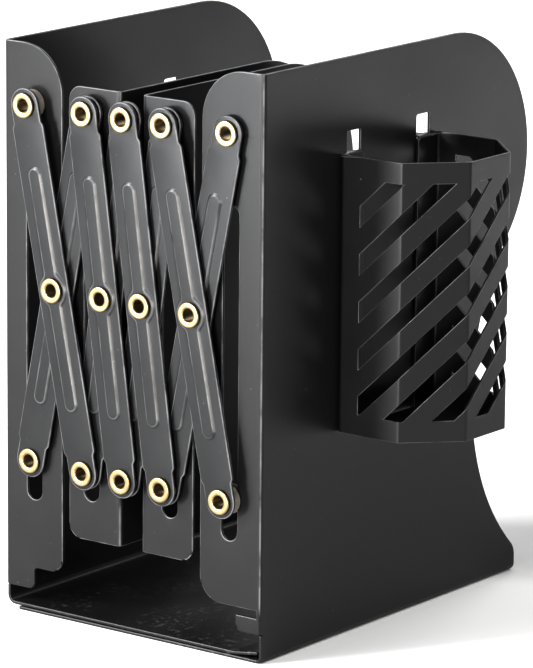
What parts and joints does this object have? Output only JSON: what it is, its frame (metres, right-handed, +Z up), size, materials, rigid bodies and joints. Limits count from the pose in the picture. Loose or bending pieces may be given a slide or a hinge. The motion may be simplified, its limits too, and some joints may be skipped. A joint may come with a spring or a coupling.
{
  "type": "expandable bookend",
  "caption": "Expandable sheet-metal bookend: end plates and dividers joined by a scissor linkage of riveted arms, with a slotted pen holder hung on one end.",
  "frame": {"origin": "centre of the underside of the base, with the bookend closed", "axes": "+X the way the linkage opens, towards the end with the pen holder; -Y the front, where the arms are; +Z up"},
  "size_m": [0.1524, 0.1613, 0.2],
  "materials": {
    "plate_coat": "satin black powder coat",
    "arm_coat": "satin black powder coat",
    "eyelet_brass": "polished",
    "washer_nylon": "matte"
  },
  "bodies": {
    "right_end": {"right_end_plate": "plate_coat", "top_rivet_5": "eyelet_brass", "top_back_washer_5": "washer_nylon"},
    "left_end": {"left_end_plate": "plate_coat", "top_rivet_1": "eyelet_brass", "top_spacer_1": "washer_nylon"},
    "left_divider": {"left_divider": "plate_coat", "top_rivet_2": "eyelet_brass", "top_washer_2": "washer_nylon", "top_back_washer_2": "washer_nylon"},
    "right_divider": {"right_divider": "plate_coat", "top_rivet_4": "eyelet_brass", "top_washer_4": "washer_nylon", "top_back_washer_4": "washer_nylon"},
    "front_arm_1": {"front_arm_1": "arm_coat", "middle_rivet_1": "eyelet_brass", "middle_washer_1": "washer_nylon", "bottom_rivet_2": "eyelet_brass", "bottom_washer_2": "washer_nylon", "bottom_back_washer_2": "washer_nylon", "slide_washer_2": "washer_nylon"},
    "front_arm_2": {"front_arm_2": "arm_coat", "middle_rivet_2": "eyelet_brass", "middle_washer_2": "washer_nylon", "bottom_rivet_3": "eyelet_brass", "bottom_washer_3": "washer_nylon"},
    "front_arm_3": {"front_arm_3": "arm_coat", "middle_rivet_3": "eyelet_brass", "middle_washer_3": "washer_nylon", "top_rivet_3": "eyelet_brass", "top_washer_3": "washer_nylon", "bottom_rivet_4": "eyelet_brass", "bottom_washer_4": "washer_nylon", "bottom_back_washer_4": "washer_nylon", "slide_washer_4": "washer_nylon"},
    "front_arm_4": {"front_arm_4": "arm_coat", "middle_rivet_4": "eyelet_brass", "middle_washer_4": "washer_nylon", "bottom_rivet_5": "eyelet_brass", "bottom_spacer_5": "washer_nylon", "slide_washer_5": "washer_nylon"},
    "rear_arm_1": {"rear_arm_1": "arm_coat", "bottom_rivet_1": "eyelet_brass", "bottom_back_washer_1": "washer_nylon", "slide_washer_1": "washer_nylon"},
    "rear_arm_2": {"rear_arm_2": "arm_coat"},
    "rear_arm_3": {"rear_arm_3": "arm_coat"},
    "rear_arm_4": {"rear_arm_4": "arm_coat"},
    "pen_holder": {"pen_holder": "plate_coat", "pen_holder_floor": "plate_coat"}
  },
  "joints": [
    {"name": "right_end_pivot", "type": "hinge", "parent": "right_end", "child": "rear_arm_4", "pos_m": [0.0421, -0.0794, 0.1794], "axis": [0, 1, 0], "range_deg": [0, 53.6]},
    {"name": "lower_pivot_4", "type": "hinge", "parent": "rear_arm_4", "child": "front_arm_3", "pos_m": [0.0169, -0.0794, 0.0554], "axis": [0, -1, 0], "range_deg": [0, 111.2]},
    {"name": "upper_pivot_3", "type": "hinge", "parent": "front_arm_3", "child": "rear_arm_2", "pos_m": [0, -0.0794, 0.1794], "axis": [0, 1, 0], "range_deg": [0, 115.3]},
    {"name": "lower_pivot_2", "type": "hinge", "parent": "rear_arm_2", "child": "front_arm_1", "pos_m": [-0.0169, -0.0794, 0.0554], "axis": [0, -1, 0], "range_deg": [0, 111.2]},
    {"name": "extend", "type": "hinge", "parent": "front_arm_1", "child": "left_end", "pos_m": [-0.0421, -0.0794, 0.1794], "axis": [0, 1, 0], "range_deg": [0, 53.5]},
    {"name": "middle_pivot_4", "type": "hinge", "parent": "rear_arm_4", "child": "front_arm_4", "pos_m": [0.0295, -0.0794, 0.1174], "axis": [0, -1, 0], "range_deg": [0, 107.1]},
    {"name": "middle_pivot_3", "type": "hinge", "parent": "front_arm_3", "child": "rear_arm_3", "pos_m": [0.00845, -0.0794, 0.1174], "axis": [0, 1, 0], "range_deg": [0, 115.3]},
    {"name": "middle_pivot_2", "type": "hinge", "parent": "rear_arm_2", "child": "front_arm_2", "pos_m": [-0.00845, -0.0794, 0.1174], "axis": [0, -1, 0], "range_deg": [0, 115.3]},
    {"name": "middle_pivot_1", "type": "hinge", "parent": "front_arm_1", "child": "rear_arm_1", "pos_m": [-0.0295, -0.0794, 0.1174], "axis": [0, 1, 0], "range_deg": [0, 107.1]},
    {"name": "left_divider_pivot", "type": "hinge", "parent": "front_arm_2", "child": "left_divider", "pos_m": [-0.0169, -0.0794, 0.1794], "axis": [0, 1, 0], "range_deg": [0, 57.7]},
    {"name": "right_divider_pivot", "type": "hinge", "parent": "front_arm_4", "child": "right_divider", "pos_m": [0.0169, -0.0794, 0.1794], "axis": [0, 1, 0], "range_deg": [0, 53.6]},
    {"name": "pen_holder_lift", "type": "slide", "parent": "right_end", "child": "pen_holder", "axis": [0, 0, 1], "range_m": [0, 0.0065]}
  ],
  "couplings": [
    {"joint": "right_end_pivot", "follows": "extend", "ratio": 1},
    {"joint": "lower_pivot_4", "follows": "extend", "ratio": 2.076},
    {"joint": "upper_pivot_3", "follows": "extend", "ratio": 2.152},
    {"joint": "lower_pivot_2", "follows": "extend", "ratio": 2.076},
    {"joint": "middle_pivot_4", "follows": "extend", "ratio": 2},
    {"joint": "middle_pivot_3", "follows": "extend", "ratio": 2.152},
    {"joint": "middle_pivot_2", "follows": "extend", "ratio": 2.152},
    {"joint": "middle_pivot_1", "follows": "extend", "ratio": 2},
    {"joint": "left_divider_pivot", "follows": "extend", "ratio": 1.076},
    {"joint": "right_divider_pivot", "follows": "extend", "ratio": 1}
  ]
}
